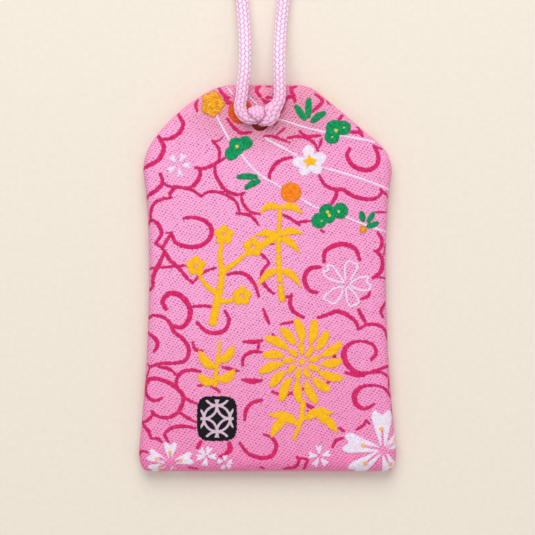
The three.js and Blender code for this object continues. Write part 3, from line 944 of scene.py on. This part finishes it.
# Gold plants: widths in pixels along each line, then the line
STEM = "6/5/3"
BLADE = "1.5/7.5/7.5/4.5/0.8"
LEAF = "2/9.5/8.5/1"
GOLD_STROKES = f"""
6.5/5.5/5/3.5 282,299 279,270 278.5,240 280.5,206;
{BLADE} 279,238 268,241 258,252;
{BLADE} 279,236 267,233 254,236;
{BLADE} 279,238 290,242 300,253;
{BLADE} 279,235 291,231 304,234;
{BLADE} 280,208 270,206 259,213;
{BLADE} 281,207 293,207 303,214;
{BLADE} 279,270 268,274 258,286;
{BLADE} 279,270 291,274 301,287;
8.5/7.5/6.5/5.5/3.5 213,322 217.5,300 222,276 220,254 223,240;
{STEM} 221,273 235,263 249,251;
{STEM} 219,295 206,285 198,272;
{STEM} 219,301 229,301 238,297.5;
4.5/4.5/2.5 215,385 217,366 220,341;
{LEAF} 217,368 206,362 199,350;
{LEAF} 217.5,362 228,356 234,345;
{LEAF} 215.5,382 206,381 198,374;
{LEAF} 216.5,379 227,378 235,369;
5.5/5/3.5 303,402 301,420 294,439;
{LEAF} 300,426 285,416 268,415;
{LEAF} 288,418 277,426 271,437;
{LEAF} 302,420 318,412 334,413;
{LEAF} 315,414 328,421 338,433;
"""
BAMBOO_JOINTS = "1.3 274,222 285,222.5; 1.3 273,254 284,254; 1.3 273,284 286,283.5"
GOLD_PLUMS = "253,247 196,266 242,296 224,235"
GOLD_PLUM_REACH = 5.8
GOLD_PLUM_PETAL = 8.6
GOLD_PLUM_HEART = 3

# Gold flower: count, inner end, outer end and width of the petals in each ring
GOLD_FLOWER = "302,362"
FLOWER_RINGS = ((15, 20, 41, 9.5), (9, 7, 17.5, 6.5))
FLOWER_SWELL = np.array([0.35, 0.9, 1, 0.7])
FLOWER_HEART = 7

# Black medallion: its frame in millimetres, the rest in pixels
MEDALLION = "217,418.5"
MEDALLION_HALF = (20, 22.5)
MEDALLION_FRAME = 0.7
LATTICE_RING = 13
LATTICE_LINE = 2.3
LATTICE_SPAN = 3


def triples(text):
    """Groups of three numbers."""
    return [tuple(float(number) for number in group.split(",")) for group in text.split()]


def paint_clouds(fields, points):
    for widths, line in strokes(CLOUDS):
        widths = widths if len(widths) > 1 else widths * CLOUD_SWELL
        add_stroke(fields["crimson"], points, line, THREAD_SPREAD * widths)


def paint_spots(fields, points):
    for colour, spots in SPOTS.items():
        for x, y, radius in triples(spots):
            add_dot(fields[colour], points, pixels(f"{x},{y}")[0], 2 * radius)


def paint_blossoms(fields, points):
    white = fields["white"]
    for place, heart, notch, petals in CHERRY_BLOSSOMS:
        middle = pixels(place)[0]
        for angle, reach, width in triples(petals):
            add_area(white, points, petal(middle, angle, heart, reach, width, notch, CHERRY))
            if reach > SLIT_FROM_REACH:
                slit = np.array([polar(middle, out, angle) for out in (heart, 0.5 * reach)])
                carve_stroke(white, points, slit, PETAL_SLIT)
    plum = pixels(PLUM_MIDDLE)[0]
    for angle, reach, width in triples(PLUM_PETALS):
        add_area(white, points, petal(plum, angle, PLUM_HEART, reach, width, 0, PLUM))
    for point in pixels(PLUM_STAR):
        add_stroke(fields["gold"], points, np.array([plum, point]), PLUM_RAY)
    for widths, line in strokes(OUTLINED_PETALS):
        add_stroke(white, points, line, widths)


def paint_twigs(fields, points):
    for width, line in strokes(TWIGS):
        add_stroke(fields["white"], points, line, width * TWIG_SWELL)
    for (width,), line in strokes(LEAVES):
        add_stroke(fields["green"], points, line, (LEAF_END, width, width, LEAF_END))


def paint_gold_flower(gold, points):
    """A chrysanthemum with two rings of bent petals, every second one a little shorter."""
    flower = pixels(GOLD_FLOWER)[0]
    for count, near, far, width in FLOWER_RINGS:
        for step in range(count):
            angle = 90 + 360 / count * step
            reach = far if step % 2 == 0 else 0.9 * far
            bend = ((near, 0), (0.75 * reach, 2), (reach, 7))
            line = np.array([polar(flower, out, angle + turn) for out, turn in bend])
            add_stroke(gold, points, line, width * FLOWER_SWELL)
    add_dot(gold, points, flower, FLOWER_HEART)


def paint_gold_plants(fields, points):
    """Plain gold plants, of kinds that brocade often has: bamboo, plum twig, leaf sprig, chrysanthemum."""
    gold = fields["gold"]
    for widths, line in strokes(GOLD_STROKES):
        add_stroke(gold, points, line, widths)
    for widths, line in strokes(BAMBOO_JOINTS):
        carve_stroke(gold, points, line, widths)
    for middle in pixels(GOLD_PLUMS):
        for petal_middle in circle_of(middle, GOLD_PLUM_REACH, 5):
            add_dot(gold, points, petal_middle, GOLD_PLUM_PETAL)
        carve_stroke(gold, points, middle[None, :], [GOLD_PLUM_HEART])
    paint_gold_flower(gold, points)


def paint_medallion(fields, points):
    """A plain black medallion with a pale lattice of overlapping rings."""
    middle = pixels(MEDALLION)[0]
    angles = np.linspace(0, 2 * math.pi, 48, endpoint=False)
    rounded = [np.sign(wave) * np.abs(wave) ** 0.5 for wave in (np.cos(angles), np.sin(angles))]
    add_area(fields["black"], points, middle + np.array(rounded).T * MEDALLION_HALF / PIXELS_PER_MM)
    span = range(-LATTICE_SPAN, LATTICE_SPAN + 1)
    cells = [(column, row) for column in span for row in span if (column + row) % 2 == 0]
    for cell in cells:
        ring = circle_of(middle + np.array(cell) * LATTICE_RING / PIXELS_PER_MM, LATTICE_RING, 25)
        add_stroke(fields["pale"], points, np.concatenate([ring, ring[:1]]), [LATTICE_LINE])
    np.maximum(fields["pale"], fields["black"] + MEDALLION_FRAME, out=fields["pale"])


def figure_fields(points, full):
    """Distances to the woven figures; the back has only the clouds, flowers, twigs and leaves."""
    fields = {figure: np.full(len(points), FAR) for figure in FIGURES}
    paint_clouds(fields, points)
    paint_blossoms(fields, points)
    paint_twigs(fields, points)
    paint_spots(fields, points)
    if full:
        paint_gold_plants(fields, points)
        paint_medallion(fields, points)
    return fields


def raise_figures(piece, cloth, edge, puckers, fields):
    """Lift the woven figures off the ground weave, let the cloth's face wander and pucker it at the seam."""
    points = coordinates(piece)
    lift = np.zeros(len(points))
    for figure, (_, _, _, height) in FIGURES.items():
        lift = np.maximum(lift, height * smoothstep(-fields[figure], *RELIEF_EDGE))
    x, y = cloth.T
    wander = sum(np.sin(across * x + up * y + lag) for across, up, lag in WANDER_WAVES)
    lift = (lift + WANDER_HEIGHT * wander) * (1 - edge) + PUCKER_HEIGHT * puckers
    move_points(piece, points + lift[:, None] * point_normals(piece))


def add_pouch(front_material, back_material):
    front, cloth, edge, puckers = add_panel("brocade_front", *FRONT_GRID, FRONT_EDGE_Z, CROWN)
    raise_figures(front, cloth, edge, puckers, figure_fields(cloth, True))
    whole = coordinates(front)
    beyond = np.column_stack([cloth - whole[:, :2], edge])
    cut_hole(front)
    beyond = beyond[nearest(coordinates(front), whole)[0]]
    front_cloth = coordinates(front)[:, :2] + beyond[:, :2]
    back, back_cloth, back_edge, _ = add_panel("brocade_back", *BACK_GRID, 0, 0)
    for piece, node, slot, material, cloth, edge, full in (
        (front, "front_panel", "front_brocade", front_material, front_cloth, beyond[:, 2], True),
        (back, "back_panel", "back_brocade", back_material, back_cloth * (-1, 1), back_edge, False),
    ):
        for figure, field in figure_fields(cloth, full).items():
            store(piece, figure, field)
        store(piece, "cloth", np.column_stack([cloth, np.zeros(len(cloth))]))
        store(piece, "edge", edge)
        piece.data.materials.append(material)
        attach(piece, "pouch")
        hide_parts(node)


# Materials

class Value:
    """A number, vector or colour that a material works out. Numbers can stand in plain sums."""

    def __init__(self, finish, socket):
        self.finish = finish
        self.socket = socket

    def __add__(self, other):
        return self.finish.math("ADD", self, other)

    def __sub__(self, other):
        return self.finish.math("SUBTRACT", self, other)

    def __rsub__(self, other):
        return self.finish.math("SUBTRACT", other, self)

    def __mul__(self, other):
        return self.finish.math("MULTIPLY", self, other)

    def __truediv__(self, other):
        return self.finish.math("DIVIDE", self, other)

    __radd__ = __add__
    __rmul__ = __mul__


class Finish:
    """A material and short ways to add nodes to it."""

    def __init__(self, name, roughness, sheen=0.0):
        self.material = bpy.data.materials.new(name)
        self.material.use_nodes = True
        self.tree = self.material.node_tree
        self.surface = self.tree.nodes["Principled BSDF"]
        self.put(self.surface.inputs["Roughness"], roughness)
        self.put(self.surface.inputs["Sheen Weight"], sheen)
        self.put(self.surface.inputs["Sheen Roughness"], 0.5)
        self.put(self.surface.inputs["Specular IOR Level"], 0.2)

    def put(self, socket, value):
        if isinstance(value, Value):
            self.tree.links.new(value.socket, socket)
        else:
            socket.default_value = value

    def node(self, kind, output, inputs, **settings):
        """One output of a new node. Its inputs are given by name or number."""
        node = self.tree.nodes.new("ShaderNode" + kind)
        for name, setting in settings.items():
            setattr(node, name, setting)
        for key, value in inputs.items():
            self.put(node.inputs[key], value)
        return Value(self, node.outputs[output])

    def place(self):
        return self.node("TexCoord", "Object", {})

    def attribute(self, name, output="Fac"):
        return self.node("Attribute", output, {}, attribute_name=name)

    def math(self, operation, first, second=0.0):
        return self.node("Math", 0, {0: first, 1: second}, operation=operation)

    def split(self, vector):
        return [self.node("SeparateXYZ", axis, {0: vector}) for axis in range(3)]

    def join(self, x, y, z=0.0):
        return self.node("CombineXYZ", 0, {0: x, 1: y, 2: z})

    def step(self, value, low, high):
        """0 below low, 1 above high, smooth between."""
        inputs = {"Value": value, "From Min": low, "From Max": high}
        return self.node("MapRange", "Result", inputs, interpolation_type="SMOOTHSTEP")

    def mix(self, share, first, second):
        return self.node("Mix", 2, {"Factor": share, 6: first, 7: second}, data_type="RGBA")

    def noise(self, vector, scale, detail=2.0):
        return self.node("TexNoise", "Fac", {"Vector": vector, "Scale": scale, "Detail": detail})

    def chance(self, column, row):
        """A chance number, 0 to 1, for each cell of a grid."""
        cell = self.join(self.math("FLOOR", column), self.math("FLOOR", row))
        return self.node("TexWhiteNoise", "Value", {"Vector": cell}, noise_dimensions="2D")

    def colour(self, value):
        self.put(self.surface.inputs["Base Color"], value)

    def bump(self, height, depth, strength):
        inputs = {"Strength": strength, "Distance": depth, "Height": height}
        self.put(self.surface.inputs["Normal"], self.node("Bump", "Normal", inputs))


def weave_dots(finish, u, v):
    """How deep each point of the ground weave lies, about -0.5 to 1, and a chance for each of its dots."""
    first, second = (u * across + v * up for across, up in (WEAVE_FIRST, WEAVE_SECOND))
    waves = [
        weight * finish.math("COSINE", 2 * math.pi * place)
        for place, weight in ((first, 0.37), (second, 0.39), (second - first, 0.24))
    ]
    return waves[0] + waves[1] + waves[2], finish.chance(first + 0.5, second + 0.5)


def blush_share(finish, u, v):
    """How far the ground turns a darker, duller pink: most round the knot, fading a little way down the
    pouch.
    """
    across = 0.55 * (u + 0.5)
    down = v - 35.0
    reach = finish.math("SQRT", across * across + down * down)
    return 1.0 - finish.step(reach, 4.0, 12.0)


def brocade(name):
    """Pink ground weave with slanting rows of darker dots, and coloured figures woven in."""
    finish = Finish(name, 0.78, 0.06)
    cloth = finish.attribute("cloth", "Vector")
    u, v, _ = finish.split(cloth)
    sway = 0.5 * finish.noise(cloth, 0.3)
    jitter = 0.5 * finish.noise(cloth, 1.7)
    depth, chance = weave_dots(finish, u + sway + jitter, v - sway - jitter)
    pit = finish.step(depth, 0.0, 0.85)

    # The ground: paler upwards, uneven, deeper to the right and at the bottom, darker and duller round the
    # knot, with painted light on the rounded edge and painted highlights between the weave's dots
    colour = finish.mix(finish.step(v, -42, 4), srgb(240, 136, 186), srgb(247, 168, 217))
    for share, tint in (
        (0.35 * finish.noise(cloth, 0.12, 3), srgb(244, 146, 196)),
        (0.5 * finish.step(u, -8, 24), srgb(242, 144, 196)),
        (0.42 * (1.0 - finish.step(v, -38, -34)), srgb(244, 100, 158)),
        (0.9 * blush_share(finish, u, v), srgb(221, 140, 163)),
        # A brighter pink towards the seam: painted light that lifts the shade of the rounded edge
        (0.5 * finish.attribute("edge"), srgb(255, 130, 182)),
        # Paler pink between the weave's dots: a painted highlight on the threads that stand highest
        (0.3 * finish.step(-1.0 * depth, 0.0, 0.5), srgb(255, 196, 232)),
        (pit * (0.3 + 0.7 * chance), srgb(178, 74, 136)),
    ):
        colour = finish.mix(share, colour, tint)

    # The figures: frayed by their threads, mottled, and dark along their edges
    tooth = finish.chance(u / FIGURE_TOOTH[0], v / FIGURE_TOOTH[1])
    ragged = 0.12 * (tooth - 0.5) + 0.16 * depth
    mottle = finish.step(finish.noise(cloth, 1.4, 3), 0.3, 0.7)
    thread = (0.5 * mottle + 0.5 * tooth) * (1.0 - 0.6 * pit)
    covered = 0.0
    for figure, (dark, light, fray, _) in FIGURES.items():
        field = finish.attribute(figure)
        inside = 1.0 - finish.step(field + fray * ragged, -0.05, 0.05)
        border = 0.45 * finish.step(field, -0.35, -0.05)
        tone = finish.mix(border, finish.mix(thread, dark, light), dark)
        colour = finish.mix(inside, colour, tone)
        covered = finish.math("MAXIMUM", covered, inside)
    finish.colour(colour)
    finish.bump(thread * covered - pit * (1.0 - covered), 0.00005, 0.8)
    return finish.material


def braid():
    """Silky braid, with painted shade between its stitches and where strands press on each other, painted
    highlights on the stitch crests and painted pink light from the pouch near it.
    """
    # The colours: painted contact shade, painted shade in the stitch gaps, painted pink light bounced from
    # the pouch, the cord's own pink and a painted highlight
    contact_shade_tint, gap, pouch_bounce_pink = srgb(170, 84, 140), srgb(180, 110, 172), srgb(244, 176, 214)
    body, highlight_pink = srgb(247, 198, 234), srgb(255, 234, 254)
    finish = Finish("cord_braid", 0.5, 0.1)
    stitch = finish.attribute("stitch")
    fibres = finish.noise(finish.place(), 5200, 3)
    _, y, _ = finish.split(finish.place())
    # Stitch crests get a painted highlight
    tone = finish.mix(finish.step(stitch, 0.6, 0.97), body, highlight_pink)
    # Painted pink light bounced from the pouch, on the knot and the legs near the face
    tone = finish.mix(0.75 * (1.0 - finish.step(y, 0.033, 0.045)), tone, pouch_bounce_pink)
    # Painted shade in the gaps between stitches
    tone = finish.mix(finish.step(stitch, 0.28, 0.7), gap, tone)
    tone = finish.mix(0.15 * fibres, tone, highlight_pink)
    # Painted shade where strands press on each other
    finish.colour(finish.mix(0.7 * finish.attribute("contact_shade"), tone, contact_shade_tint))
    finish.bump(fibres, 0.00004, 0.5)
    return finish.material


def fibrous(name, dark, light, scale, depth):
    """Paper, card or thread: fibres in two close tones."""
    finish = Finish(name, 0.85)
    fibres = finish.noise(finish.place(), scale, 6)
    finish.colour(finish.mix(fibres, dark, light))
    finish.bump(fibres, depth, 0.6)
    return finish.material


def wood():
    """Planed pale wood with grain along the tablet."""
    finish = Finish("tablet_wood", 0.6)
    x, y, z = finish.split(finish.place())
    grain = finish.noise(finish.join(9.0 * x, 0.5 * y, z), 260, 5)
    finish.colour(finish.mix(grain, srgb(206, 168, 118), srgb(240, 214, 170)))
    finish.bump(grain, 0.00003, 0.5)
    return finish.material


def add_floor():
    half = TABLE_SIZE / 2
    corners = [(-half, -half, 0), (half, -half, 0), (half, half, 0), (-half, half, 0)]
    floor = new_object("table", corners, [(0, 1, 2, 3)])
    finish = Finish("table_paper", 0.8)
    fibres = finish.noise(finish.place(), 900, 4)
    finish.colour(finish.mix(fibres, srgb(232, 225, 212), srgb(241, 234, 222)))
    finish.bump(fibres, 0.00006, 0.4)
    floor.data.materials.append(finish.material)


def dress_inner_pieces():
    """Materials for the solids that stay as they are."""
    paper = fibrous("lining_paper", srgb(226, 218, 204), srgb(246, 240, 230), 1800, 0.00003)
    thread = fibrous("seam_thread", srgb(204, 96, 156), srgb(236, 140, 194), 3600, 0.00004)
    finishes = {
        "front_lining": paper,
        "back_lining": paper,
        "stiffener_card": fibrous("card_board", srgb(198, 188, 172), srgb(222, 213, 198), 1400, 0.00004),
        "amulet_tablet": wood(),
        "paper_wrapper": fibrous("sleeve_paper", srgb(240, 236, 228), srgb(252, 250, 246), 1600, 0.00003),
        "side_seam_thread": thread,
        "mouth_seam_thread": thread,
        # The stop knot, seen only through the hole, is painted red: painted shade and red light inside the
        # pouch, not the pale pink cord's colour
        "stop_knot": fibrous("cord_in_painted_hole_shade", srgb(206, 26, 36), srgb(244, 132, 116), 900, 0.00004),
    }
    for node, material in finishes.items():
        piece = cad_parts[node]
        for slot in piece.material_slots:
            slot.material = material


add_camera()
add_studio()
add_floor()
add_cord(braid())
add_pouch(brocade("front_brocade"), brocade("back_brocade"))
dress_inner_pieces()
